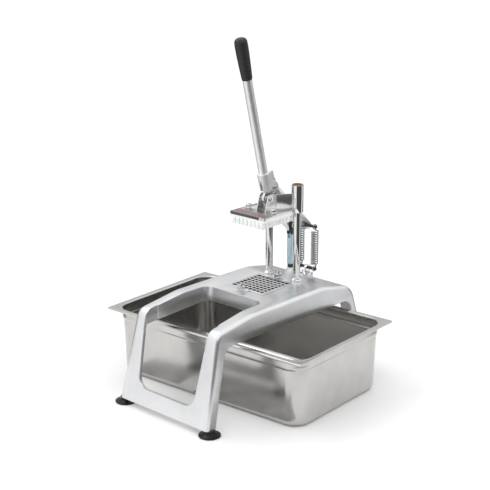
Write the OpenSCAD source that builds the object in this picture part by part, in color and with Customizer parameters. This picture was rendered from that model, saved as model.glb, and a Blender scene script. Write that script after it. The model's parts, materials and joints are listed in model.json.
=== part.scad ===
// Manual vegetable dicer: a cast stand bridges a food container. A hand lever pivots on a fixed
// post behind two columns and presses a toothed pusher down through a blade grid. Two springs lift it.
// Machine axes: X across the stand, -Y towards the user, Z up, table at z = 0.

/* [Stand] */
// Height of the flat deck above the table
deck_z = 215; // [213:1:217]
// Half width of the stand at deck height
deck_half = 114; // [112:1:116]
// Half width of the stand at the feet
foot_half = 128; // [126:1:130]
// Thickness of the cast walls
wall = 7; // [6:0.5:8]
// Radius of the cast outer edges
edge_r = 9; // [8.5:0.5:10]
// Half width of the hand opening in the deck at its rear corners
opening_half = 82; // [78:1:84]
// Rear edge of the hand opening
opening_rear_y = -59; // [-64:1:-57]

/* [Blade grid] */
// Number of cells along each side of the grid
cells = 8; // [8:1:8]
// Pitch of the blades, one cell and one blade
cell_pitch = 11; // [11:0.5:11]
// Thickness of one blade
blade_t = 1; // [0.6:0.1:1.2]
// Middle of the grid, front to back
grid_y = 22; // [21:0.5:22.5]

/* [Columns and head] */
// Diameter of each guide column
column_d = 16; // [15:0.5:16.5]
// Sideways distance of each column from the middle
column_x = 39.5; // [39:0.5:41]
// Columns, front to back
column_y = 93.5; // [93:0.5:95]
// Top of the columns
column_top = 426; // [420:1:428]
// Height of the top face of the head plate with the lever up
head_z = 379; // [378:1:380]
// Height of the sleeves' lower ends with the lever up
sleeve_z = 369.5; // [368.5:0.5:371]
// Length of the sleeves
sleeve_len = 59; // [57:1:60]

/* [Lever] */
// Distance of the fixed fulcrum behind the middle of the container
fulcrum_y = 120; // [119:0.5:121]
// Height of the fixed fulcrum
fulcrum_z = 328; // [327:0.5:329]
// Distance of the head pin behind the middle of the container
head_pin_y = 39; // [38:0.5:40]
// Height of the head pin with the lever up
head_pin_z = 403; // [402:0.5:404]
// Lean of the lever handle towards the user with the lever up, in degrees
handle_lean = 13.8; // [13:0.1:15]
// Travel of the head
travel = 143; // [140:1:143]
// Angle the lever turns while the head makes its travel, in degrees
swing = 83; // [82:0.5:83.5]
// Thickness of the lever arm plate
arm_t = 6; // [5:0.5:6]

/* [Container] */
// Length of the container over its rim
pan_len = 530; // [526:1:530]
// Width of the container over its rim
pan_wid = 325; // [321:1:325]
// Depth of the container
pan_z = 150; // [140:1:152]
// Turn of the container on the table, in degrees
pan_yaw = 3.5; // [0:0.5:3.5]
// Sideways place of the container under the stand
pan_x = -17; // [-20:1:0]
// Thickness of the container's sheet
pan_t = 1.2; // [1:0.1:1.5]

/* [Hidden] */
$fn = 64;

// The origin is on the table under the middle of the whole object, which puts the machine here.
machine_x = 17;
machine_y = 17;
casting_z = 12;          // underside of the casting, on its feet
steps = 6;               // segments in each rounded corner of an outline
big = 400;               // longer than anything it cuts
gap = 0.05;              // radial clearance of a running fit
foot_d = 45;
foot_x = 122;
front_foot_y = -262;
rear_foot_y = 228;
column_r = column_d / 2;
pad_z = deck_z + 1;      // machined pads that stand just above the deck
grid_half = cells * cell_pitch / 2;
blade_top = deck_z + 2;
blade_h = 12.5;
bevel = 1;               // height of the ground edge on top of each blade
stud_y = [grid_y - grid_half - 18, grid_y + grid_half + 13];
plate_t = 2.5;           // sheet of the head plate
lip_z = head_z - 6;      // lower edge of the head plate's folded lip
plate_half = 49;
plate_front = grid_y - grid_half + 1;
pusher_half = grid_half - 1.2;
pusher_top = head_z - plate_t;
pusher_front = plate_front + plate_t + 0.1;
prong_top = head_z - 11;
prong_z = head_z - 25;
prong_w = 9.2;
arm_gap_y = 44;              // front of the gap that lets the lever arm down through the head
arm_groove_z = head_z - 19;
sleeve_r = 12.7;
bush_r = 10.5;
cheek_in = 11;           // inner face of the head bracket's cheeks
cheek_t = 3;
knob_x = 34.5;
knob_y = 22.5;
pin_r = 4;               // head pin and fulcrum pin
spring_pin_r = 3.5;
spring_y = 177;
spring_low_z = 218;
spring_high_z = 315;
spring_x = 20;
spring_r = 7.5;          // mean radius of the coil
wire_r = 1.5;
arm_slot_z = 299;        // floor of the slot that the lever arm sweeps through in the post
post_top = 308;
lobe = [53, 426];        // main bolt of the lever casting and its arm, as y and z
second_bolt = [46, 419];
fork_half = 9.5;         // half thickness of the lever casting at its bolts
fork_top = 441.5;        // top of the gap in the casting that takes the arm
socket_top = [28.5, 459];  // mouth of the lever casting, as y and z
tube_r = 9.75;
grip_start = 208;        // distances along the handle from the mouth of the socket
grip_len = 87;

// A rounded outline: each corner is [x, y, radius]. Flat joints have radius 0.
function unit(v) = v / norm(v);
function flat(p) = [p.x, p.y];
function half_angle(a, b, c) = acos(unit(a - b) * unit(c - b)) / 2;
function corner_centre(a, b, c, r) = b + unit(unit(a - b) + unit(c - b)) * r / sin(half_angle(a, b, c));
function arc(centre, r, from, sweep) =
    [for (i = [0:steps]) centre + r * [cos(from + sweep * i / steps), sin(from + sweep * i / steps)]];
function turn(from, to) = (to - from + 540) % 360 - 180;
function bearing(from, to) = atan2(to.y - from.y, to.x - from.x);
function corner_arc(a, b, c, r) =
    let (
        m = corner_centre(a, b, c, r),
        reach = r / tan(half_angle(a, b, c)),
        start = bearing(m, b + unit(a - b) * reach),
        end = bearing(m, b + unit(c - b) * reach)
    ) arc(m, r, start, turn(start, end));
function rounded(o) =
    [for (i = [0:len(o) - 1])
        let (a = flat(o[(i + len(o) - 1) % len(o)]), b = flat(o[i]), c = flat(o[(i + 1) % len(o)]))
        each o[i][2] == 0 ? [b] : corner_arc(a, b, c, o[i][2])];
function box_outline(half_x, half_y, r) =
    [[-half_x, -half_y, r], [half_x, -half_y, r], [half_x, half_y, r], [-half_x, half_y, r]];

// Side view of the stand, front foot to rear foot over the deck, as [y, z, radius].
side_profile = [[-277.5, 0, 0], [-230.5, 200.5, 24], [-125, deck_z, 160], [100, deck_z, 200],
    [194, deck_z - 19, 40], [248, 0, 0]];
// Centres of the balls that round the stand's edges: the side view moved in by the edge radius.
inner_profile = [for (i = [1:len(side_profile) - 2])
    let (a = flat(side_profile[i - 1]), b = flat(side_profile[i]), c = flat(side_profile[i + 1]))
    concat(corner_centre(a, b, c, edge_r), side_profile[i][2] - edge_r)];
ball_path = rounded(concat([[-277.5 + edge_r, -4, 0]], inner_profile, [[248 - edge_r, -4, 0]]));
function side_x(z) = foot_half - (z - casting_z) * (foot_half - deck_half) / (deck_z - casting_z);

module at_machine() translate([machine_x, machine_y, 0]) children();

// A shape drawn in the side view, with y to the right and z up, given thickness across X.
module across(half_x) rotate([90, 0, 90]) translate([0, 0, -half_x]) linear_extrude(2 * half_x) children();

// A shape drawn in the front view, with x to the right and z up, given depth from y0 to y1.
module along(y0, y1) translate([0, y1, 0]) rotate([90, 0, 0]) linear_extrude(y1 - y0) children();

// A round bar across the machine at a side-view point [y, z].
module cross_bar(p, r, x0, x1) translate([x0, p.x, p.y]) rotate([0, 90, 0]) cylinder(r = r, h = x1 - x0);

module mirrored() {
    children();
    mirror([1, 0, 0]) children();
}

// A hex nut or bolt head standing on z = 0.
module hex(across_flats, h) cylinder(d = across_flats / cos(30), h = h, $fn = 6);

// The stand's closed outer shape with its edges rounded to radius r.
module envelope(r) hull() mirrored()
    for (p = ball_path) translate([side_x(p.y) - edge_r, p.x, p.y]) sphere(r = r, $fn = 20);

// The hand opening in the deck, flared towards the front knee and grown by a margin.
function opening_outline(grow) = let (w = opening_half + grow, back = opening_rear_y + grow, front = w + 9.5)
    rounded([[-front, -320, 0], [front, -320, 0], [w, -100, 300], [w, back, 22 + grow], [-w, back, 22 + grow],
        [-w, -100, 300]]);

// Webs and bosses inside the hollow casting.
module opening_rim() intersection() {
    across(deck_half)
        polygon([[-240, 171], [opening_rear_y + wall, 184], [opening_rear_y + wall, 230], [-240, 230]]);
    translate([0, 0, 150]) linear_extrude(90) difference() {
        polygon(opening_outline(wall));
        polygon(opening_outline(0));
    }
}

module foot_bosses() for (y = [front_foot_y, rear_foot_y]) mirrored()
    translate([foot_x, y, casting_z - 1]) cylinder(r = 10, h = 28);

module deck_bosses() {
    mirrored() translate([column_x, column_y, deck_z - 25]) cylinder(r = 15, h = 25);
    translate([0, fulcrum_y, deck_z - 27]) cylinder(r = 14, h = 27);
    translate([-14, 156, 178]) cube([28, 30, 30]);
}

module deck_pads() {
    mirrored() translate([column_x, column_y, deck_z - 8]) cylinder(r = 13, h = 9);
    translate([-11, fulcrum_y - 12, deck_z - 10]) cube([22, 24, 10]);
    translate([-11, 158, deck_z - 24]) cube([22, 26, 13]);
}

module front_window() along(-300, -198) polygon(rounded([[92, 260, 0], [-92, 260, 0], [-88.5, 190, 300],
    [-85, 128, 300], [-79, 46, 26], [79, 46, 26], [85, 128, 300], [88.5, 190, 300]]));

module rear_window() along(176, 300)
    polygon(rounded([[-80, 46, 28], [80, 46, 28], [76, 160, 24], [-76, 160, 24]]));

// The open passage under the deck, from side to side.
module passage() across(big) polygon(rounded([[-264, -40, 0], [-211, 168, 26], [181, 168, 22], [231, -40, 0]]));

module base_casting() color("silver") at_machine() difference() {
    union() {
        difference() {
            envelope(edge_r);
            envelope(edge_r - wall);
        }
        intersection() {
            envelope(edge_r - 1);
            union() {
                opening_rim();
                foot_bosses();
                deck_bosses();
            }
        }
        deck_pads();
    }
    translate([-big, -big, casting_z - big]) cube([2 * big, 2 * big, big]);
    difference() {
        passage();
        foot_bosses();
    }
    front_window();
    rear_window();
    translate([0, 0, 160]) linear_extrude(90) polygon(opening_outline(0));
    translate([0, grid_y, 150]) linear_extrude(90) square(2 * grid_half + 4.4, center = true);
    mirrored() translate([column_x, column_y, 150]) cylinder(r = column_r - 2 + gap, h = 90);
    for (y = [front_foot_y, rear_foot_y]) mirrored() translate([foot_x, y, 0]) cylinder(r = 3.1, h = 36);
    for (y = stud_y) translate([0, y, 150]) cylinder(r = 3.1, h = 90);
    translate([0, fulcrum_y, 150]) cylinder(r = 5.1, h = 90);
    for (x = [-7, 7]) translate([x, 171, 150]) cylinder(r = 2.6, h = 90);
}

// A moulded sucker foot with a recess for its screw head.
module foot(x, y) color("black") at_machine() translate([x, y, 0]) difference() {
    rotate_extrude() polygon(concat([[0, 0], [foot_d / 2 - 1, 0], [foot_d / 2, 1.2], [foot_d / 2, 2.6]],
        [for (a = [0:15:90]) [11 + 11 * (1 - sin(a)), 10.5 - 7.5 * cos(a)]],
        [[11, casting_z], [0, casting_z]]));
    translate([0, 0, -1]) cylinder(r = 7, h = 6.5);
    translate([0, 0, -1]) cylinder(r = 3.1, h = 20);
}
module foot_front_left() foot(-foot_x, front_foot_y);
module foot_front_right() foot(foot_x, front_foot_y);
module foot_rear_left() foot(-foot_x, rear_foot_y);
module foot_rear_right() foot(foot_x, rear_foot_y);

module foot_screws() color("gray") at_machine()
    for (y = [front_foot_y, rear_foot_y]) mirrored() translate([foot_x, y, 1.5]) {
        hex(10, 4);
        cylinder(r = 3, h = 31);
    }

// A guide column with a reduced end that drops through the deck.
module column(x) color("lightgray") at_machine() translate([x, column_y, 0]) {
    translate([0, 0, pad_z]) cylinder(r = column_r, h = column_top - pad_z - 1);
    translate([0, 0, column_top - 1]) cylinder(r1 = column_r, r2 = column_r - 1, h = 1);
    translate([0, 0, deck_z - 37]) cylinder(r = column_r - 2, h = 38);
}
module column_left() column(-column_x);
module column_right() column(column_x);

module column_collars() color("lightgray") at_machine() mirrored() translate([column_x, column_y, pad_z])
    rotate_extrude() polygon([[column_r + gap, 0], [12.5, 0], [12.5, 3], [10.5, 4.5], [10.5, 6.5], [10, 7],
        [column_r + gap, 7]]);

module column_nuts() color("gray") at_machine() mirrored() translate([column_x, column_y, deck_z - 33])
    difference() {
        hex(17, 7.9);
        translate([0, 0, -1]) cylinder(r = column_r - 2 + gap, h = 10);
    }

// The post behind the columns: a flared foot, a dark collar, a coloured bar and a slotted clevis.
module post_foot() color("gainsboro") at_machine() translate([0, fulcrum_y, deck_z]) {
    hull() {
        translate([-10, -11, 0]) cube([20, 22, 4]);
        translate([0, 0, 15]) cylinder(r = 7, h = 2, $fn = 32);
    }
    translate([0, 0, -32]) cylinder(r = 5, h = 33);
}
module post_collar() color("dimgray") at_machine() translate([0, fulcrum_y, deck_z + 17]) {
    hex(13, 4);
    translate([0, 0, 4]) cylinder(r1 = 7.4, r2 = 6.6, h = 4);
}
module arm_slot() translate([-arm_t / 2 - 0.4, fulcrum_y - 20, arm_slot_z]) cube([arm_t + 0.8, 40, 50]);

module fulcrum_post() color("lightblue") at_machine() difference() {
    translate([0, fulcrum_y, deck_z + 25]) linear_extrude(post_top - deck_z - 25)
        polygon(rounded(box_outline(6.5, 6.5, 2)));
    arm_slot();
}

// Two dark cheeks on top of the post carry the fulcrum pin.
module post_clevis() color("dimgray") at_machine() difference() {
    union() {
        along(fulcrum_y - 6.5, fulcrum_y + 6.5)
            polygon([[-7, post_top], [7, post_top], [7, fulcrum_z], [-7, fulcrum_z]]);
        cross_bar([fulcrum_y, fulcrum_z], 7, -7, 7);
    }
    arm_slot();
    cross_bar([fulcrum_y, fulcrum_z], pin_r + 0.01, -20, 20);
}

module fulcrum_pin() color("lightgray") at_machine() {
    cross_bar([fulcrum_y, fulcrum_z], pin_r, -9, 9);
    for (x = [-10.5, 7]) cross_bar([fulcrum_y, fulcrum_z], 6.5, x, x + 3.5);
}

// The hooked plate that anchors both springs behind the post.
module spring_bracket() color("silver") at_machine() difference() {
    union() {
        across(arm_t / 2) polygon(rounded([[160, deck_z - 11, 0], [183, deck_z - 11, 0],
            [186, spring_low_z + 6, 6], [170, spring_low_z + 6, 8], [166, 207, 4]]));
        translate([-11, 159, deck_z - 11]) cube([22, 24, 3]);
    }
    cross_bar([spring_y, spring_low_z], spring_pin_r + 0.01, -20, 20);
    for (x = [-7, 7]) translate([x, 171, 190]) cylinder(r = 2.6, h = 20);
}
module bracket_screws() color("gray") at_machine() for (x = [-7, 7]) translate([x, 171, 0]) {
    translate([0, 0, deck_z - 8]) hex(7, 3);
    translate([0, 0, deck_z - 27]) cylinder(r = 2.5, h = 20);
}

// A spring pin with a groove near each end, where the spring's hook sits. Its half outline is mirrored.
groove_r = spring_pin_r - 0.7;
half_spring_pin = [[spring_pin_r, 18], [groove_r, 18.6], [groove_r, 21.4], [spring_pin_r, 22],
    [spring_pin_r, 24.2], [spring_pin_r - 0.8, 25], [0, 25]];
module spring_pin(z) at_machine() translate([0, spring_y, z]) rotate([0, 90, 0]) rotate_extrude()
    polygon(concat([for (i = [len(half_spring_pin) - 1:-1:0]) let (p = half_spring_pin[i]) [p.x, -p.y]],
        half_spring_pin));
module lower_spring_pin() color("dimgray") spring_pin(spring_low_z);
module upper_spring_pin() color("dimgray") spring_pin(spring_high_z);

// An extension spring drawn as one ripple for each turn, with a ring hook at each end.
spring_turns = 16;
coil_low = spring_low_z + 8.2;
coil_high = spring_high_z - 8.2;
module spring(x) color("lightgray") at_machine() translate([x, spring_y, 0]) {
    pitch = (coil_high - coil_low) / spring_turns;
    ripple = [for (i = [0:4 * spring_turns])
        [wire_r * (0.62 + 0.38 * abs(sin(45 * i))), coil_low + pitch * i / 4]];
    rotate_extrude($fn = 40) polygon(concat([for (p = ripple) [spring_r + p.x, p.y]],
        [for (i = [len(ripple) - 1:-1:0]) [spring_r - ripple[i].x, ripple[i].y]]));
    for (z = [spring_low_z, spring_high_z]) translate([0, 0, z]) rotate([0, 90, 0])
        rotate_extrude($fn = 40) translate([5.2, 0]) circle(r = wire_r, $fn = 16);
    for (z = [spring_low_z + 5.4, coil_high - 1.2]) translate([0, 0, z]) cylinder(r = wire_r, h = 4);
    for (z = [coil_low, coil_high - 1.6]) translate([-spring_r, -wire_r, z])
        cube([2 * spring_r, 2 * wire_r, 1.6]);
}
module spring_left() spring(-spring_x);
module spring_right() spring(spring_x);

// The blade cartridge: a square frame with two ears, and the crossed blades inside it.
module blade_frame() color("silver") at_machine() difference() {
    union() {
        translate([0, grid_y, deck_z - 11]) linear_extrude(11.2) square(2 * grid_half + 4, center = true);
        translate([0, 0, deck_z + 0.1]) linear_extrude(2) {
            translate([0, grid_y]) square(2 * grid_half + 10, center = true);
            hull() for (y = stud_y) translate([0, y]) circle(r = 11, $fn = 32);
        }
    }
    translate([-grid_half, grid_y - grid_half, 150]) cube([2 * grid_half, 2 * grid_half, 90]);
    for (y = stud_y) translate([0, y, 200]) cylinder(r = 3.3, h = 30);
}

// Sideways places of the middle of cell i.
function cell_middle(i) = (i + 0.5) * cell_pitch - grid_half;

// One blade seen from its end, ground to an edge on top.
module blade_section(x) translate([x, 0])
    polygon([[-blade_t / 2, 0], [blade_t / 2, 0], [blade_t / 2, blade_h - bevel],
        [0.15, blade_h], [-0.15, blade_h], [-blade_t / 2, blade_h - bevel]]);

// Seven blades run each way. Both sets are slotted to half their height where they cross.
slot_gap = 0.02;
module blade_grid() color("lightgray") at_machine() translate([0, grid_y, blade_top - blade_h])
    for (quarter = [0, 90], i = [1:cells - 1]) rotate(quarter) difference() {
        along(slot_gap - grid_half, grid_half - slot_gap) blade_section(i * cell_pitch - grid_half);
        for (j = [1:cells - 1]) translate([i * cell_pitch - grid_half - 1,
            j * cell_pitch - grid_half - blade_t / 2 - slot_gap, quarter == 0 ? blade_h / 2 - slot_gap : -1])
            cube([2, blade_t + 2 * slot_gap, blade_h / 2 + slot_gap + 1]);
    }

module grid_studs() color("gray") at_machine() for (y = stud_y) translate([0, y, deck_z - 14]) {
    cylinder(r = 3, h = 31);
    translate([0, 0, 3]) hex(10, 3.9);
}

// A knurled thumb nut with a hub, standing on z = 0.
module thumb_nut(bore) difference() {
    union() {
        cylinder(r = 6.5, h = 3);
        translate([0, 0, 3]) cylinder(r = 9.5, h = 7);
    }
    for (a = [0:20:340]) rotate(a) translate([10, 0, 2]) cylinder(r = 1.2, h = 9, $fn = 16);
    translate([0, 0, -1]) cylinder(r = bore, h = 20);
}
module thumb_nut_front() color("lightgray") at_machine()
    translate([0, stud_y[0], deck_z + 2.3]) thumb_nut(3 + gap);
module thumb_nut_rear() color("lightgray") at_machine()
    translate([0, stud_y[1], deck_z + 2.3]) thumb_nut(3 + gap);

// The sliding head: a folded plate over the pusher, two bent cheeks and the two guide sleeves.
module head_plate() color("silver") at_machine() difference() {
    union() {
        translate([0, 0, head_z - plate_t]) linear_extrude(plate_t)
            polygon(rounded([[-plate_half, plate_front, 3], [plate_half, plate_front, 3], [plate_half, 66, 4],
                [40, 86, 3], [10, 86, 3], [5, arm_gap_y, 0], [-5, arm_gap_y, 0], [-10, 86, 3], [-40, 86, 3],
                [-plate_half, 66, 4]]));
        translate([0, 0, lip_z]) linear_extrude(head_z - lip_z - 0.5) difference() {
            polygon(rounded([[-plate_half, plate_front, 3], [plate_half, plate_front, 3], [plate_half, 30, 0],
                [-plate_half, 30, 0]]));
            translate([-big / 2, plate_front + plate_t]) square(big);
        }
    }
    mirrored() translate([column_x, column_y, head_z - 20]) cylinder(r = sleeve_r + 0.02, h = 40);
    mirrored() translate([knob_x, knob_y, head_z - 20]) cylinder(r = 3 + gap, h = 40);
    translate([38, plate_front - 1, lip_z - 1]) cube([5, plate_t + 2, 6]);
}

// A printed strip across the plate's front, folded down over the lip.
module head_label() color("dimgray") at_machine() {
    translate([0, 0, head_z]) linear_extrude(0.4)
        polygon(rounded([[-48, plate_front - 0.4, 0], [48, plate_front - 0.4, 0], [48, 5, 2], [-48, 5, 2]]));
    translate([-48, plate_front - 0.4, lip_z]) cube([81, 0.4, head_z - lip_z + 0.1]);
}

// A bent sheet cheek: straight beside the lever arm, then splayed out to its sleeve.
module bracket() color("silver") at_machine() difference() {
    intersection() {
        translate([0, 0, head_z]) linear_extrude(60) polygon([[cheek_in, 20], [cheek_in + cheek_t, 20],
            [cheek_in + cheek_t, 56], [33.5, 82.6], [31.1, 84.4], [cheek_in, 57]]);
        across(60) polygon(rounded([[21.5, head_z, 0], [32, head_z + 34.5, 5], [50, head_z + 33.5, 6],
            [56, head_z + 31, 8], [100, head_z + 31, 0], [100, head_z, 0]]));
    }
    cross_bar([head_pin_y, head_pin_z], pin_r + 0.01, 0, 30);
    translate([column_x, column_y, 300]) cylinder(r = sleeve_r + 0.02, h = 200);
}
module bracket_right() bracket();
module bracket_left() translate([2 * machine_x, 0, 0]) mirror([1, 0, 0]) bracket();

module sleeve(x) color("silver") at_machine() translate([x, column_y, sleeve_z]) difference() {
    cylinder(r = sleeve_r, h = sleeve_len);
    translate([0, 0, -1]) cylinder(r = bush_r, h = sleeve_len + 2);
}
module sleeve_left() sleeve(-column_x);
module sleeve_right() sleeve(column_x);

module bushes(x) color("peru") at_machine() for (z = [sleeve_z, sleeve_z + sleeve_len - 18])
    translate([x, column_y, z]) difference() {
        union() {
            cylinder(r = bush_r - 0.02, h = 18);
            if (z > sleeve_z) translate([0, 0, 18]) cylinder(r = sleeve_r - 0.8, h = 1.2);
        }
        translate([0, 0, -1]) cylinder(r = column_r + gap, h = 30);
    }
module bushes_left() bushes(-column_x);
module bushes_right() bushes(column_x);

// The pusher: a block held in the folded plate, with one long prong for each cell of the blade grid.
module pusher_block() color("white") at_machine() difference() {
    union() {
        translate([0, grid_y, prong_top]) linear_extrude(pusher_top - prong_top)
            square([2 * plate_half - 1, 2 * pusher_half], center = true);
        for (i = [0:cells - 1], j = [0:cells - 1])
            translate([cell_middle(i), cell_middle(j) + grid_y, prong_z])
                linear_extrude(prong_top - prong_z + 0.5) square(prong_w, center = true);
    }
    translate([-5, arm_gap_y, arm_groove_z]) cube([10, 30, 30]);
    translate([-big / 2, pusher_front - big, lip_z - 0.1]) cube(big);
    mirrored() translate([knob_x, knob_y, pusher_top - 7]) cylinder(r = 3 + gap, h = 10);
}

module pusher_knob(x) color("lightgray") at_machine() translate([x, knob_y, head_z + 0.1]) {
    translate([0, 0, -9]) cylinder(r = 3, h = 10);
    difference() {
        union() {
            cylinder(r = 5, h = 3);
            translate([0, 0, 3]) cylinder(r = 6.5, h = 5);
            translate([0, 0, 8]) cylinder(r1 = 6.5, r2 = 4.5, h = 1.5);
        }
        for (a = [0:30:330]) rotate(a) translate([6.9, 0, 2.5]) cylinder(r = 1, h = 8, $fn = 16);
    }
}
module pusher_knob_left() pusher_knob(-knob_x);
module pusher_knob_right() pusher_knob(knob_x);

module head_pin() color("lightgray") at_machine() {
    cross_bar([head_pin_y, head_pin_z], pin_r, -16, 16);
    for (x = [-17, 14.05]) cross_bar([head_pin_y, head_pin_z], 6, x, x + 2.95);
}

// A frame along the handle, with its z axis up the handle from the mouth of the socket.
module along_handle() translate([0, socket_top.x, socket_top.y]) rotate([handle_lean, 0, 0]) children();

// Centre of the head pin as the lever arm sees it, after a share of the stroke.
function pin_in_arm(share) =
    let (
        v = [head_pin_y - fulcrum_y, head_pin_z - fulcrum_z - share * travel],
        a = -share * swing
    ) [fulcrum_y + v.x * cos(a) - v.y * sin(a), fulcrum_z + v.x * sin(a) + v.y * cos(a)];

// The lever arm: one flat plate from the handle casting over the fulcrum to the spring pin.
module lever_arm() color("silver") at_machine() difference() {
    across(arm_t / 2) hull() {
        translate(lobe) circle(r = 12, $fn = 32);
        translate([34, 404]) circle(r = 7, $fn = 32);
        translate([48, 391]) circle(r = 8, $fn = 32);
        translate([fulcrum_y, fulcrum_z]) circle(r = 15, $fn = 32);
        translate([spring_y, spring_high_z]) circle(r = 8, $fn = 32);
    }
    across(20) hull() for (share = [0:0.125:1]) translate(pin_in_arm(share)) circle(r = pin_r + 0.4, $fn = 32);
    cross_bar([fulcrum_y, fulcrum_z], pin_r + gap, -20, 20);
    cross_bar([spring_y, spring_high_z], spring_pin_r + 0.01, -20, 20);
    cross_bar(lobe, 3.05, -20, 20);
    cross_bar(second_bolt, 2.55, -20, 20);
}

// The casting that joins the handle to the arm: a conical socket, a fork and a web behind them.
module lever_socket() color("gainsboro") at_machine() difference() {
    union() {
        along_handle() translate([0, 0, -38]) cylinder(r1 = 12.2, r2 = 13.6, h = 38);
        cross_bar(lobe, 13.4, -fork_half, fork_half);
        across(fork_half) polygon(rounded([[lobe.x - 22, lobe.y - 8, 3], [lobe.x, lobe.y - 10, 0],
            [lobe.x, lobe.y + 13, 0], [socket_top.x + 8, socket_top.y - 4, 0],
            [socket_top.x - 4, socket_top.y - 6, 0]]));
        across(3.5) polygon([[38, 455], [53, 462], [56, 459], [61, fork_top], [40, fork_top]]);
    }
    along_handle() translate([0, 0, -24]) cylinder(r = tube_r + 0.01, h = 40);
    translate([-arm_t / 2 - 0.05, 0, 380]) cube([arm_t + 0.1, 90, fork_top - 380]);
    mirrored() cross_bar(second_bolt, 5.6, fork_half, 20);
    cross_bar(lobe, 3.05, -20, 20);
    cross_bar(second_bolt, 2.55, -20, 20);
}
module socket_bolts() color("gray") at_machine() {
    cross_bar(lobe, 3, -12, 12);
    cross_bar(second_bolt, 2.5, -11.5, 11.5);
    mirrored() {
        translate([fork_half + 0.05, lobe.x, lobe.y]) rotate([0, 90, 0]) hex(8, 3.5);
        translate([fork_half + 0.05, second_bolt.x, second_bolt.y]) rotate([0, 90, 0]) hex(7, 2.8);
    }
}

module lever_tube() color("silver") at_machine() along_handle() translate([0, 0, -23]) difference() {
    cylinder(r = tube_r, h = 23 + grip_start + grip_len - 8);
    translate([0, 0, 2]) cylinder(r = tube_r - 1.5, h = big);
}

// A moulded grip with shallow rings, thinner at its lower end and rounded on top.
grip_rings = 12;
module grip() color("black") at_machine() along_handle() translate([0, 0, grip_start]) difference() {
    rotate_extrude() polygon(concat([[0, 0], [10.2, 0], [10.9, 1.2]],
        [for (i = [0:4 * grip_rings]) let (share = i / (4 * grip_rings))
            [10.9 + 2.4 * sin(90 * share) + 0.5 * abs(sin(45 * i)), 4 + share * (grip_len - 16)]],
        [for (a = [0:10:90]) [6 + 7.4 * cos(a), grip_len - 9 + 9 * sin(a)]], [[0, grip_len]]));
    translate([0, 0, -1]) cylinder(r = tube_r + 0.01, h = grip_len - 6.9);
}

// The food container. Its rim, its stacking shoulder and its tapered walls share these half sizes.
rim_w = 13;
rim_r = 5;
rim_half = [pan_len / 2, pan_wid / 2];
mouth_half = rim_half - [rim_w, rim_w];
shoulder_half = mouth_half - [1.5, 1.5];
floor_half = mouth_half - [4.5, 4.5];
shoulder_z = pan_z - 24;
floor_edge_r = 14;
corner_r = 38;

// A tapered tub between two heights with upright corners, and a rounded floor edge if it has one.
module tub(low_half, high_half, z0, z1, low_r, high_r, floor_r) hull() for (sx = [-1, 1], sy = [-1, 1]) {
    translate([sx * (high_half.x - high_r), sy * (high_half.y - high_r), z1 - 0.5])
        cylinder(r = high_r, h = 0.5, $fn = 32);
    translate([sx * (low_half.x - low_r), sy * (low_half.y - low_r), z0])
        if (floor_r > 0) rotate_extrude($fn = 32) intersection() {
            translate([low_r - floor_r, floor_r]) circle(r = floor_r, $fn = 32);
            square([low_r, floor_r]);
        }
        else cylinder(r = low_r, h = 0.5, $fn = 32);
}

module pan_body(t) {
    tub(floor_half - [t, t], shoulder_half - [t, t], t, shoulder_z, corner_r - t, corner_r - 1 - t,
        floor_edge_r - t);
    tub(shoulder_half - [t, t], mouth_half - [t, t], shoulder_z - 3 + t, pan_z - 1 + 4 * t,
        corner_r - 1 - t, corner_r - 1 - t, 0);
}

module container() color("silver") at_machine() translate([pan_x, 0, 0]) rotate(pan_yaw) difference() {
    union() {
        pan_body(0);
        translate([0, 0, pan_z - 1.6]) linear_extrude(1.6)
            polygon(rounded(box_outline(rim_half.x, rim_half.y, rim_r)));
        translate([0, 0, pan_z - 5]) linear_extrude(5) difference() {
            polygon(rounded(box_outline(rim_half.x, rim_half.y, rim_r)));
            polygon(rounded(box_outline(rim_half.x - 1.8, rim_half.y - 1.8, rim_r - 1.8)));
        }
    }
    pan_body(pan_t);
}

base_casting();
foot_front_left();
foot_front_right();
foot_rear_left();
foot_rear_right();
foot_screws();
column_left();
column_right();
column_collars();
column_nuts();
post_foot();
post_collar();
fulcrum_post();
post_clevis();
fulcrum_pin();
spring_bracket();
bracket_screws();
lower_spring_pin();
spring_left();
spring_right();
blade_frame();
blade_grid();
grid_studs();
thumb_nut_front();
thumb_nut_rear();
head_plate();
head_label();
bracket_left();
bracket_right();
sleeve_left();
sleeve_right();
bushes_left();
bushes_right();
pusher_block();
pusher_knob_left();
pusher_knob_right();
head_pin();
lever_socket();
socket_bolts();
lever_arm();
upper_spring_pin();
lever_tube();
grip();
container();
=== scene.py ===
"""Vegetable dicer: materials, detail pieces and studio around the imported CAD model."""
import json
import math

import bmesh
import bpy
from mathutils import Matrix, Vector


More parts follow.
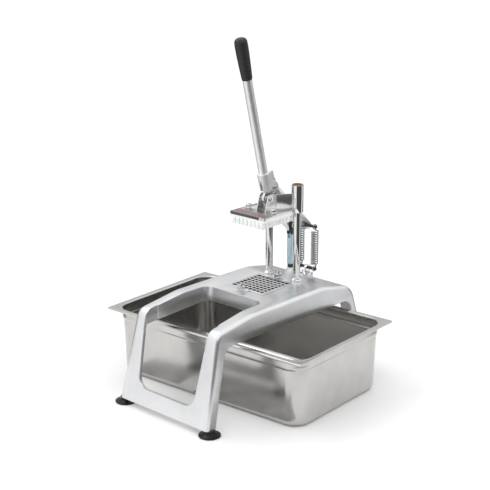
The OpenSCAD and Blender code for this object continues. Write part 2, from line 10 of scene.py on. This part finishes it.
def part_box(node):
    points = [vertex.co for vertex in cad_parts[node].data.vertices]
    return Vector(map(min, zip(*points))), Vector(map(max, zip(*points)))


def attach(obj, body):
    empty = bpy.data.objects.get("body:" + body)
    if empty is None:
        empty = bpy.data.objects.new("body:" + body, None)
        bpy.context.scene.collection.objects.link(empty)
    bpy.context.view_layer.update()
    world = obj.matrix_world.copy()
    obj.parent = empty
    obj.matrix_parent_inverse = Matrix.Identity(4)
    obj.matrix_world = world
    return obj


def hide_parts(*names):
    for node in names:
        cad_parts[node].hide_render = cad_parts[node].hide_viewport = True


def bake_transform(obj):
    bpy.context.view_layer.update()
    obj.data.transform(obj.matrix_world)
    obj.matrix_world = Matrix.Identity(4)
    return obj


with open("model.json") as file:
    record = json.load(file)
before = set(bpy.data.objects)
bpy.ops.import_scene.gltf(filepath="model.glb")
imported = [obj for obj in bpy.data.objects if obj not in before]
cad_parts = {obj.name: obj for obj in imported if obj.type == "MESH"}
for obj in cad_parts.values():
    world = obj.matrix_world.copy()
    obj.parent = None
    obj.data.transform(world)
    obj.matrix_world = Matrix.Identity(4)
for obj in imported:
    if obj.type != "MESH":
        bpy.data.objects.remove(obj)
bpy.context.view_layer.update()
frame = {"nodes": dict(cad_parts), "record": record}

MM = 0.001
nodes = frame["nodes"]
NODE_SLOT = {part["node"]: part["material_slot"] for part in frame["record"]["subparts"]}
NODE_BODY = {node: body for body, members in frame["record"]["behaviour"]["bodies"].items()
             for node in members}


def middle(node):
    """Centre of a CAD node's box."""
    low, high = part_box(node)
    return (low + high) / 2


# ---------------------------------------------------------------- materials

# Noise values between which a pattern goes from one end of its range to the other.
PATTERN_LOW, PATTERN_HIGH = 0.3, 0.7


class Nodes:
    """The node tree of a material or world, with short ways to add nodes and join them."""

    def __init__(self, owner):
        owner.use_nodes = True
        self.tree = owner.node_tree

    def node(self, kind, **values):
        """Add a node. Each value goes to the input of that name, or else to the attribute."""
        made = self.tree.nodes.new(kind)
        for key, value in values.items():
            socket = key.replace("_", " ")
            if socket in made.inputs:
                made.inputs[socket].default_value = value
            else:
                setattr(made, key, value)
        return made

    def link(self, source, target):
        """Join an output to an input."""
        self.tree.links.new(source, target)


class Finish(Nodes):
    """A Principled material and the procedural nodes that drive it."""

    def __init__(self, name, colour, metallic, roughness, **sockets):
        self.material = bpy.data.materials.new(name)
        super().__init__(self.material)
        self.shader = self.tree.nodes["Principled BSDF"]
        self.colour = colour
        self.set("Base Color", (*colour, 1))
        self.set("Metallic", metallic)
        self.set("Roughness", roughness)
        for socket, value in sockets.items():
            self.set(socket.replace("_", " "), value)
        self.relief = None

    def set(self, socket, value):
        """Give a shader socket a plain value."""
        self.shader.inputs[socket].default_value = value

    def shaded(self, share):
        """The finish's own colour, multiplied by a share and kept within white."""
        return (*[min(1, c * share) for c in self.colour], 1)

    def noise(self, size, stretch=(1, 1, 1), detail=3.0, turn=(0, 0, 0)):
        """Noise whose features are about size metres, longer along the stretched axes."""
        place = self.node("ShaderNodeTexCoord")
        mapping = self.node("ShaderNodeMapping", Rotation=turn, Scale=[1 / (size * s) for s in stretch])
        pattern = self.node("ShaderNodeTexNoise", Scale=1.0, Detail=detail, Roughness=0.6)
        self.link(place.outputs["Object"], mapping.inputs["Vector"])
        self.link(mapping.outputs["Vector"], pattern.inputs["Vector"])
        return pattern.outputs["Fac"]

    def vary(self, socket, pattern, low, high):
        """Drive a shader socket between two values with a pattern."""
        spread = self.node("ShaderNodeMapRange", From_Min=PATTERN_LOW, From_Max=PATTERN_HIGH,
                           To_Min=low, To_Max=high)
        self.link(pattern, spread.inputs["Value"])
        self.link(spread.outputs["Result"], self.shader.inputs[socket])

    def tint(self, pattern, dark, light):
        """Drive the base colour between dark and light shares of it."""
        ramp = self.node("ShaderNodeValToRGB")
        ends = ramp.color_ramp.elements
        ends[0].position = PATTERN_LOW
        ends[1].position = PATTERN_HIGH
        ends[0].color = self.shaded(dark)
        ends[1].color = self.shaded(light)
        self.link(pattern, ramp.inputs["Fac"])
        self.link(ramp.outputs["Color"], self.shader.inputs["Base Color"])

    def darken_below(self, low, high, share):
        """Darken a tinted finish to a share of its colour below a height. For the blades this is painted
        shade deep in the narrow gaps between them.
        """
        place = self.node("ShaderNodeTexCoord")
        split = self.node("ShaderNodeSeparateXYZ")
        fade = self.node("ShaderNodeMapRange", From_Min=low, From_Max=high)
        mix = self.node("ShaderNodeMix", data_type="RGBA")
        below, above = (socket for socket in mix.inputs if socket.type == "RGBA")
        mixed = next(socket for socket in mix.outputs if socket.type == "RGBA")
        tinted = self.shader.inputs["Base Color"].links[0].from_socket
        self.link(place.outputs["Object"], split.inputs["Vector"])
        self.link(split.outputs["Z"], fade.inputs["Value"])
        self.link(fade.outputs["Result"], mix.inputs["Factor"])
        below.default_value = self.shaded(share)
        self.link(tinted, above)
        self.link(mixed, self.shader.inputs["Base Color"])

    def bump(self, pattern, depth, strength):
        """Add surface relief of about depth metres over any relief already there."""
        relief = self.node("ShaderNodeBump", Strength=strength, Distance=depth)
        self.link(pattern, relief.inputs["Height"])
        if self.relief is not None:
            self.link(self.relief.outputs["Normal"], relief.inputs["Normal"])
        self.relief = relief
        self.link(relief.outputs["Normal"], self.shader.inputs["Normal"])


def brushed(name, colour, along, roughness, spread=0.08, turn=(0, 0, 0)):
    """Satin metal with fine lines along one axis (0, 1 or 2), once the axes are turned."""
    finish = Finish(name, colour, 1.0, roughness)
    stretch = [50 if axis == along else 1 for axis in range(3)]
    fine = finish.noise(0.35 * MM, stretch, 2.0, turn)
    broad = finish.noise(40 * MM, (1, 1, 1), 2.0)
    finish.vary("Roughness", fine, roughness - spread, roughness + spread)
    finish.tint(broad, 0.94, 1.04)
    finish.bump(fine, 2e-5, 0.25)
    return finish


def polished(name, colour, roughness):
    """Polished metal with faint haze and hairline marks."""
    finish = Finish(name, colour, 1.0, roughness)
    haze = finish.noise(18 * MM, (1, 1, 2), 4.0)
    marks = finish.noise(0.5 * MM, (1, 1, 14), 2.0)
    finish.vary("Roughness", haze, roughness * 0.6, roughness * 1.7)
    finish.tint(haze, 0.95, 1.03)
    finish.bump(marks, 6e-6, 0.15)
    return finish


def cast_metal(name, colour, roughness, grain, relief):
    """Blasted and lightly brushed casting: fine grain over slow cloudy variation."""
    finish = Finish(name, colour, 1.0, roughness)
    fine = finish.noise(grain, (1, 1, 1), 4.0)
    lines = finish.noise(0.5 * MM, (1, 24, 1), 2.0)
    cloud = finish.noise(55 * MM, (1, 1, 1), 3.0)
    finish.vary("Roughness", fine, roughness - 0.07, roughness + 0.09)
    finish.tint(cloud, 0.93, 1.05)
    finish.bump(cloud, 1.2e-4, 0.12)
    finish.bump(lines, relief * 0.6, 0.3)
    finish.bump(fine, relief, 0.5)
    return finish


def plastic(name, colour, roughness, grain, relief, **sockets):
    """Moulded plastic or rubber with a fine texture."""
    finish = Finish(name, colour, 0.0, roughness, **sockets)
    fine = finish.noise(grain, (1, 1, 1), 3.0)
    cloud = finish.noise(22 * MM, (1, 1, 1), 3.0)
    finish.vary("Roughness", cloud, roughness - 0.06, roughness + 0.08)
    finish.tint(cloud, 0.93, 1.06)
    finish.bump(fine, relief, 0.5)
    return finish


def painted(name, colour, roughness, metallic):
    """Thin even paint over metal, with a slight orange-peel surface."""
    finish = Finish(name, colour, metallic, roughness, Coat_Weight=0.35, Coat_Roughness=0.12)
    peel = finish.noise(1.6 * MM, (1, 1, 1), 2.0)
    cloud = finish.noise(12 * MM, (1, 1, 3), 3.0)
    finish.vary("Roughness", cloud, roughness - 0.06, roughness + 0.08)
    finish.tint(cloud, 0.9, 1.06)
    finish.bump(peel, 3e-5, 0.2)
    return finish


HANDLE_LEAN = math.radians(13.8)            # the tube's lean from upright, which its lines follow
FINISHES = {
    "cast_aluminium": cast_metal("cast_aluminium", (0.76, 0.765, 0.775), 0.33, 0.5 * MM, 3e-5),
    "stainless_sheet": brushed("stainless_sheet", (0.56, 0.55, 0.535), 0, 0.2, 0.05),
    "polished_steel": polished("polished_steel", (0.82, 0.82, 0.82), 0.07),
    "dark_steel": painted("dark_steel", (0.05, 0.053, 0.058), 0.34, 0.7),
    "zinc_fastener": polished("zinc_fastener", (0.66, 0.67, 0.69), 0.2),
    "blade_steel": brushed("blade_steel", (0.92, 0.925, 0.93), 0, 0.42),
    "bronze_bush": brushed("bronze_bush", (0.42, 0.25, 0.12), 0, 0.35),
    "blue_paint": painted("blue_paint", (0.50, 0.68, 0.76), 0.26, 0.35),
    "cast_grey": cast_metal("cast_grey", (0.86, 0.865, 0.87), 0.55, 0.4 * MM, 4e-5),
    "tube_aluminium": brushed("tube_aluminium", (0.94, 0.945, 0.95), 2, 0.5, 0.07,
                              turn=(HANDLE_LEAN, 0, 0)),
    "white_plastic": plastic("white_plastic", (0.92, 0.92, 0.91), 0.38, 0.5 * MM, 1e-5,
                             Subsurface_Weight=0.12, Subsurface_Scale=0.004),
    "label_grey": plastic("label_grey", (0.20, 0.215, 0.205), 0.36, 0.4 * MM, 6e-6),
    "foot_rubber": plastic("foot_rubber", (0.008, 0.008, 0.009), 0.24, 0.8 * MM, 1e-5,
                           Specular_IOR_Level=0.22),
    "grip_rubber": plastic("grip_rubber", (0.016, 0.016, 0.017), 0.5, 0.35 * MM, 6e-5),
    "satin_steel": brushed("satin_steel", (0.80, 0.80, 0.80), 1, 0.26, 0.06),
    "label_red": plastic("label_red", (0.42, 0.045, 0.05), 0.36, 0.4 * MM, 6e-6),
}
# Bent and flat sheet parts are satin, where turned parts in the same steel are polished.
SATIN_NODES = ("bracket_left", "bracket_right", "lever_arm", "head_plate", "blade_frame")
# Deep in the grid the blades are painted near black below their tops, as painted shade in the narrow cells,
# and the label is darker below its top face.
blade_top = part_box("blade_grid")[1].z
label_low, label_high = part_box("head_label")
FINISHES["blade_steel"].darken_below(blade_top - 2.3 * MM, blade_top - 1.2 * MM, 0.03)
FINISHES["label_grey"].darken_below(label_high.z - 0.9 * MM, label_high.z - 0.5 * MM, 0.3)
MATERIALS = {name: finish.material for name, finish in FINISHES.items()}

# ---------------------------------------------------------------- mesh helpers


def add_object(name, mesh, material):
    """Link a mesh to the scene as an object in one material."""
    made = bpy.data.objects.new(name, mesh)
    bpy.context.scene.collection.objects.link(made)
    mesh.materials.clear()
    mesh.materials.append(material)
    return made


def add_piece(name, mesh, body, slot, stands_for=(), material=None):
    """Add a piece that rides on a body, in its slot's material or in a named one."""
    piece = add_object(name, mesh, MATERIALS[material or slot])
    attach(piece, body)
    if stands_for:
        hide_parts(*stands_for)


def finish_mesh(name, bm, smooth_angle=35.0):
    """Turn a bmesh into a mesh whose faces shade smoothly up to an angle."""
    bmesh.ops.recalc_face_normals(bm, faces=bm.faces)
    mesh = bpy.data.meshes.new(name)
    bm.to_mesh(mesh)
    bm.free()
    mesh.polygons.foreach_set("use_smooth", [True] * len(mesh.polygons))
    mesh.set_sharp_from_angle(angle=math.radians(smooth_angle))
    return mesh


def refined(node, bevel=0.0, segments=2, smooth_angle=35.0, bevel_angle=35.0):
    """A CAD node rebuilt with welded, rounded edges, standing for that node."""
    bm = bmesh.new()
    bm.from_mesh(nodes[node].data)
    bmesh.ops.remove_doubles(bm, verts=bm.verts, dist=2e-6)
    bmesh.ops.dissolve_limit(bm, angle_limit=math.radians(0.6), verts=bm.verts, edges=bm.edges)
    if bevel:
        sharp = [e for e in bm.edges if len(e.link_faces) == 2
                 and e.calc_face_angle(0) > math.radians(bevel_angle)]
        bmesh.ops.bevel(bm, geom=sharp, offset=bevel, offset_type="OFFSET", segments=segments,
                        profile=0.5, affect="EDGES", clamp_overlap=True, harden_normals=False)
    mesh = finish_mesh(node + "_shape", bm, smooth_angle)
    add_piece(node + "_shape", mesh, NODE_BODY[node], NODE_SLOT[node], [node],
              "satin_steel" if node in SATIN_NODES else None)


def skin(bm, rings):
    """Join a row of equal rings of vertices into a solid, with a flat cap at each end."""
    for a, b in zip(rings, rings[1:]):
        for k in range(len(a)):
            j = (k + 1) % len(a)
            bm.faces.new((a[k], a[j], b[j], b[k]))
    bm.faces.new(list(reversed(rings[0])))
    bm.faces.new(rings[-1])


def sweep(bm, points, radius, sides):
    """Sweep a round section along points."""
    befores = points[:1] + points[:-1]
    afters = points[1:] + points[-1:]
    tangents = [(after - before).normalized() for before, after in zip(befores, afters)]
    side = tangents[0].orthogonal().normalized()
    rings = []
    for point, tangent in zip(points, tangents):
        side = (side - tangent * side.dot(tangent)).normalized()
        up = tangent.cross(side)
        rings.append([bm.verts.new(point + side * radius * math.cos(a) + up * radius * math.sin(a))
                      for a in (2 * math.pi * k / sides for k in range(sides))])
    skin(bm, rings)


# ---------------------------------------------------------------- springs

WIRE_R, COIL_R, HOOK_R = 1.45 * MM, 7.5 * MM, 5.2 * MM
COIL_GAP = 9.6 * MM                         # from a pin's middle to the near end of the coil
LEAD_BOW = 1.0 * MM                         # how far the wire between hook and coil bows
COIL_TURNS, COIL_STEPS = 15, 24             # turns, and points in each turn
HOOK_STEPS, HOOK_ANGLE = 24, 14             # points in a hook, and degrees between them
LOW_HOOK_START, HIGH_HOOK_START = -200, -6  # degrees from straight below the pin
WIRE_SIDES = 8


def hook_points(x, pin, start):
    """Open hook round a pin. It starts at an angle in degrees, where 0 is straight below the pin."""
    return [Vector((x, pin.y + HOOK_R * math.sin(a), pin.z - HOOK_R * math.cos(a)))
            for a in (math.radians(start + HOOK_ANGLE * k) for k in range(HOOK_STEPS))]


def lead_points(start, end, shares, bow):
    """Points at shares of the way between two others, bowed up or down in the middle."""
    return [start.lerp(end, t) + Vector((0, 0, bow * math.sin(math.pi * t))) for t in shares]


def spring_points(x, low, high):
    """Centre line of an extension spring: a hook round each pin and a close coil between them."""
    axis = Vector((x, low.y, 0))
    coil_low, coil_high = low.z + COIL_GAP, high.z - COIL_GAP
    coil = []
    for k in range(COIL_TURNS * COIL_STEPS + 1):
        angle = math.radians(90) + 2 * math.pi * k / COIL_STEPS
        share = k / (COIL_TURNS * COIL_STEPS)
        height = coil_low + (coil_high - coil_low) * share
        coil.append(axis + Vector((COIL_R * math.cos(angle), COIL_R * math.sin(angle), height)))
    low_hook, high_hook = hook_points(x, low, LOW_HOOK_START), hook_points(x, high, HIGH_HOOK_START)
    low_lead = lead_points(low_hook[-1], coil[0], (0.3, 0.6, 0.85), LEAD_BOW)
    high_lead = lead_points(coil[-1], high_hook[0], (0.25, 0.5, 0.8), -LEAD_BOW)
    return low_hook + low_lead + coil + high_lead + high_hook


spring_wire = polished("spring_wire", (0.40, 0.41, 0.42), 0.2).material
low_pin, high_pin = middle("lower_spring_pin"), middle("upper_spring_pin")
for node in ("spring_left", "spring_right"):
    bm = bmesh.new()
    sweep(bm, spring_points(middle(node).x, low_pin, high_pin), WIRE_R, WIRE_SIDES)
    piece = add_object(node + "_wire", finish_mesh(node + "_wire", bm, 60), spring_wire)
    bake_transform(piece)
    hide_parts(node)

# ---------------------------------------------------------------- container

# Sizes of the container are in mm.
PAN_YAW = math.radians(3.5)
PAN_HALF = (265.0, 162.5)                   # half sizes over the rim
SHEET, FLOOR_R, CORNER_R = 1.2, 14.0, 37.0
FLOOR_PINCH = 0.8                           # share of the floor edge's inset that the corner radius loses
MOUTH, SHOULDER, FOOT = 13.0, 14.5, 17.5    # insets from the rim's edge to mouth, shoulder and floor
WALL_DEPTH = 28.0                           # depths below the rim's top: end of the sloping wall,
STEP_DEPTH, STEP_HEIGHT = 27.2, 5.0         # the shoulder's step and its height,
NECK_DEPTHS = (18.0, 4.5)                   # and the straight neck over it
LIP_IN, LIP_CORNER, LIP_R = 2.6, 1.5, 3.2   # bend from the neck into the flat rim
FLAT = (6.0, 14.0)                          # inset and corner radius of the rim's flat,
FLAT_EDGE, ROLL_START = (3.6, 6.0), (3.2, 4.0)    # of the edge under it, and of the roll's start
ROLL_R, ROLL_CORNER = 2.1, 3.0              # rolled edge, and the corner that it runs round
pan_low, pan_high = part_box("container")
pan_centre = (pan_low + pan_high) / 2
pan_top = pan_high.z / MM


def pan_ring(inset, corner, z, per_corner=10):
    """One rounded-rectangle ring of the container, turned as it stands on the table."""
    turn = Matrix.Rotation(PAN_YAW, 4, "Z")
    centre = Vector((pan_centre.x, pan_centre.y, 0))
    half_x, half_y = (half - inset for half in PAN_HALF)
    ring = []
    for sx, sy, start in ((1, 1, 0), (-1, 1, 90), (-1, -1, 180), (1, -1, 270)):
        for k in range(per_corner + 1):
            a = math.radians(start + 90 * k / per_corner)
            point = Vector((sx * (half_x - corner) + corner * math.cos(a),
                            sy * (half_y - corner) + corner * math.sin(a), z)) * MM
            ring.append(centre + turn @ point)
    return ring


def pan_floor_edge(t):
    """Rings of the rounding between floor and wall, moved in by a thickness t."""
    r = FLOOR_R - t
    return [(FOOT + t + r * (1 - math.sin(a)), CORNER_R - t - r * (1 - math.sin(a)) * FLOOR_PINCH,
             t + r * (1 - math.cos(a))) for a in (math.radians(15 * k) for k in range(7))]


def pan_slope(t):
    """Rings of the sloping wall up to the shoulder."""
    return [(FOOT + t + (SHOULDER - FOOT) * share, CORNER_R - t,
             FLOOR_R + share * (pan_top - WALL_DEPTH - FLOOR_R)) for share in (0.35, 0.7, 1.0)]


def pan_shoulder(t):
    """Rings of the stacking shoulder's soft step."""
    return [(SHOULDER + t + (MOUTH - SHOULDER) * (1 - math.cos(math.pi * share)) / 2, CORNER_R - t,
             pan_top - STEP_DEPTH + STEP_HEIGHT * share) for share in (0.0, 0.25, 0.5, 0.75, 1.0)]


def pan_lip(t):
    """Rings of the bend from the neck into the flat rim."""
    return [(MOUTH + t - LIP_IN * (1 - math.cos(a)), CORNER_R - t + LIP_CORNER * (1 - math.cos(a)),
             pan_top - SHEET + t - LIP_R * (1 - math.sin(a)))
            for a in (math.radians(22.5 * k) for k in (1, 2, 3, 4))]


def pan_wall(t):
    """Rings (inset, corner radius, height) from the floor to the rim, moved in by a thickness t."""
    neck = [(MOUTH + t, CORNER_R - t, pan_top - depth) for depth in NECK_DEPTHS]
    return pan_floor_edge(t) + pan_slope(t) + pan_shoulder(t) + neck + pan_lip(t)


def build_container():
    """Pressed sheet tub with a stacking shoulder, rounded floor and a rolled rim."""
    roll = [(ROLL_R - ROLL_R * math.sin(a), ROLL_CORNER + ROLL_R * math.sin(a),
             pan_top - ROLL_R + ROLL_R * math.cos(a)) for a in (math.radians(22.5 * k) for k in range(10))]
    under_rim = [(*FLAT, pan_top - SHEET), (*FLAT_EDGE, pan_top - SHEET), (*ROLL_START, pan_top - ROLL_R)]
    loops = (pan_wall(0) + under_rim + list(reversed(roll)) + [(*FLAT, pan_top)]
             + list(reversed(pan_wall(SHEET))))
    bm = bmesh.new()
    skin(bm, [[bm.verts.new(point) for point in pan_ring(*loop)] for loop in loops])
    add_piece("container_sheet", finish_mesh("container_sheet", bm, 60), "pan", "stainless_sheet",
              ["container"])


build_container()

# ---------------------------------------------------------------- casting and hardware

# Edge roundings in mm. Of the other nodes, those in zinc or polished steel have a small one.
BEVELS = {"blade_frame": 0.3, "head_plate": 0.7, "bracket_left": 0.6, "bracket_right": 0.6,
          "pusher_block": 0.5, "lever_arm": 0.9, "lever_socket": 0.9, "post_clevis": 0.6,
          "fulcrum_post": 0.5, "post_foot": 0.9, "spring_bracket": 0.6, "head_label": 0.1}
SMALL_BEVEL, SMALL_BEVEL_SLOTS = 0.25, ("zinc_fastener", "polished_steel")
refined("base_casting", 2.2 * MM, 3, 40, 40)
for node, bevel in BEVELS.items():
    refined(node, bevel * MM)
for node in nodes:
    if not nodes[node].hide_render:
        refined(node, SMALL_BEVEL * MM if NODE_SLOT[node] in SMALL_BEVEL_SLOTS else 0.0)

# Two plain stripes: ends as shares of the label's width, then edges in mm from its front.
STRIPES = {"label_stripe_left": (0.06, 0.44, 8, 15), "label_stripe_right": (0.54, 0.94, 7, 14)}
STRIPE_BASE, STRIPE_TOP = -0.07 * MM, 0.03 * MM     # heights from the label's face
label_width = label_high.x - label_low.x


def stripe(name, x0, x1, y0, y1):
    """A plain red stripe printed on the label."""
    bm = bmesh.new()
    skin(bm, [[bm.verts.new((x, y, label_high.z + z)) for x, y in ((x0, y0), (x1, y0), (x1, y1), (x0, y1))]
              for z in (STRIPE_BASE, STRIPE_TOP)])
    add_piece(name, finish_mesh(name, bm), "head", "label_red")


for name, (start, end, front, back) in STRIPES.items():
    stripe(name, label_low.x + start * label_width, label_low.x + end * label_width,
           label_low.y + front * MM, label_low.y + back * MM)

# ---------------------------------------------------------------- studio

# Camera: azimuth from the -Y axis towards +X, elevation above the table, distance to the target.
AZIMUTH, ELEVATION, DISTANCE = math.radians(42.76), math.radians(16.89), 2.605
TARGET = Vector((-0.00844, 0.017, 0.30312))
toward_camera = Vector((math.sin(AZIMUTH) * math.cos(ELEVATION),
                        -math.cos(AZIMUTH) * math.cos(ELEVATION), math.sin(ELEVATION)))
camera = bpy.data.objects.new("camera", bpy.data.cameras.new("camera"))
bpy.context.scene.collection.objects.link(camera)
camera.location = TARGET + toward_camera * DISTANCE
camera.rotation_euler = toward_camera.to_track_quat("Z", "Y").to_euler()
camera.data.sensor_width = 36.0
camera.data.lens = 90.17
bpy.context.scene.camera = camera


def softbox(name, place, aim, size, power):
    """A square area lamp aimed at a point."""
    lamp = bpy.data.lights.new(name, "AREA")
    lamp.shape = "SQUARE"
    lamp.size = size
    lamp.energy = power
    box = bpy.data.objects.new(name, lamp)
    bpy.context.scene.collection.objects.link(box)
    box.location = place
    box.rotation_euler = (Vector(place) - Vector(aim)).to_track_quat("Z", "Y").to_euler()


softbox("key_light", (-1.1, -0.5, 2.3), (0, 0, 0.2), 1.1, 9)


class Studio(Nodes):
    """The world and the nodes that light it."""

    def __init__(self, name):
        bpy.context.scene.world = bpy.data.worlds.new(name)
        super().__init__(bpy.context.scene.world)

    def ease(self, value, start, end):
        """Ease from 0 to 1 while a value goes from start to end."""
        made = self.node("ShaderNodeMapRange", interpolation_type="SMOOTHSTEP", From_Min=start, From_Max=end)
        self.link(value, made.inputs["Value"])
        return made.outputs["Result"]

    def vector(self, operation, source, value=None):
        """A vector operation on an output and, where it takes one, a plain vector."""
        made = self.node("ShaderNodeVectorMath", operation=operation)
        if value is not None:
            made.inputs[1].default_value = value
        self.link(source, made.inputs[0])
        return made

    def both(self, first, second):
        """The product of two outputs."""
        made = self.node("ShaderNodeMath", operation="MULTIPLY")
        self.link(first, made.inputs[0])
        self.link(second, made.inputs[1])
        return made.outputs["Value"]

    def toward(self, factor, base, value):
        """Go from an output to a plain value by a factor."""
        made = self.node("ShaderNodeMix", B=value)
        self.link(factor, made.inputs["Factor"])
        self.link(base, made.inputs["A"])
        return made.outputs["Result"]


# Each panel: azimuth of its middle, half width and height of its top edge in degrees, brightness.
PANELS = ((-128, 52, 36, 0.78), (-97, 34, 6, 0.16), (75, 53, 13, 0.07), (188, 36, 8, 0.2))
SIDE_BLUR, TOP_BLUR = 4, 5                  # half widths of the panels' soft edges, in degrees
SKY_LOW, SKY_HIGH, SKY_TOP = 1.0, 1.2, 0.8  # brightness low and high up, and the sine of that height


def build_world():
    """White studio with dark panels round its horizon.

    The metal mirrors the panels and they dim the light from their side, but the camera doesn't
    see them.
    """
    studio = Studio("studio")
    place = studio.node("ShaderNodeTexCoord").outputs["Generated"]
    split = studio.node("ShaderNodeSeparateXYZ")
    studio.link(place, split.inputs["Vector"])
    height = split.outputs["Z"]
    level = studio.vector("MULTIPLY", place, (1, 1, 0))
    heading = studio.vector("NORMALIZE", level.outputs["Vector"])
    sky = studio.node("ShaderNodeMapRange", From_Max=SKY_TOP, To_Min=SKY_LOW, To_Max=SKY_HIGH)
    studio.link(height, sky.inputs["Value"])
    brightness = sky.outputs["Result"]
    for azimuth, half_width, top, panel_brightness in PANELS:
        middle_way = (math.sin(math.radians(azimuth)), -math.cos(math.radians(azimuth)), 0)
        facing = studio.vector("DOT_PRODUCT", heading.outputs["Vector"], middle_way)
        inside = studio.ease(facing.outputs["Value"], math.cos(math.radians(half_width + SIDE_BLUR)),
                             math.cos(math.radians(half_width - SIDE_BLUR)))
        below = studio.ease(height, math.sin(math.radians(top + TOP_BLUR)),
                            math.sin(math.radians(top - TOP_BLUR)))
        brightness = studio.toward(studio.both(inside, below), brightness, panel_brightness)
    # The camera sees plain white behind the object.
    seen_by_camera = studio.node("ShaderNodeLightPath").outputs["Is Camera Ray"]
    brightness = studio.toward(seen_by_camera, brightness, 1.0)
    background = studio.tree.nodes["Background"]
    background.inputs["Color"].default_value = (1, 1, 1, 1)
    studio.link(brightness, background.inputs["Strength"])


build_world()


FLOOR_GAP = 0.2 * MM                        # the floor lies this far below height 0, and a card above it
PIN_HOLE = 1 * MM                           # radius left open at the middle of the floor
NEAR_FLOOR, WHOLE_FLOOR = 0.58, 14          # radii of the floor that the metal mirrors and of all of it


def build_floor(name, inner, outer, finish, mirrored):
    """One ring of the pale floor, which the metal mirrors or doesn't."""
    sides = 96
    bm = bmesh.new()
    rings = [[bm.verts.new((r * math.cos(a), r * math.sin(a), 0))
              for a in (2 * math.pi * k / sides for k in range(sides))] for r in (inner, outer)]
    for k in range(sides):
        j = (k + 1) % sides
        bm.faces.new((rings[0][k], rings[1][k], rings[1][j], rings[0][j]))
    floor = add_object(name, finish_mesh(name, bm), finish.material)
    floor.location.z = -FLOOR_GAP
    floor.visible_glossy = mirrored


floor_finish = Finish("floor", (0.97, 0.97, 0.97), 0.0, 0.7)
floor_finish.tint(floor_finish.noise(0.4, (1, 1, 1), 2.0), 0.995, 1.005)
build_floor("floor", PIN_HOLE, NEAR_FLOOR, floor_finish, True)
build_floor("floor_around", NEAR_FLOOR, WHOLE_FLOOR, floor_finish, False)


def build_shade_card(name, x0, x1, y0, y1, grey):
    """A grey card on the floor before the container, which only reflections show: painted shade that darkens
    the floor the metal mirrors, in place of the shadow there.
    """
    bm = bmesh.new()
    bm.faces.new([bm.verts.new((x, y, FLOOR_GAP)) for x, y in ((x0, y0), (x1, y0), (x1, y1), (x0, y1))])
    finish = Finish(name, (grey, grey, grey), 0.0, 0.9)
    finish.tint(finish.noise(0.05, (1, 1, 1), 2.0), 0.8, 1.2)
    card = add_object(name, finish_mesh(name, bm), finish.material)
    card.visible_camera = card.visible_diffuse = card.visible_shadow = card.visible_transmission = False


# Painted shade: grey cards that darken the floor's reflection in the container's front, where the stand
# shadows the floor.
build_shade_card("floor_shade_card_right", -0.03, 0.27, -0.25, -0.13, 0.45)
build_shade_card("floor_shade_card_left", -0.22, -0.08, -0.23, -0.15, 0.5)
bpy.context.scene.view_settings.view_transform = "Standard"
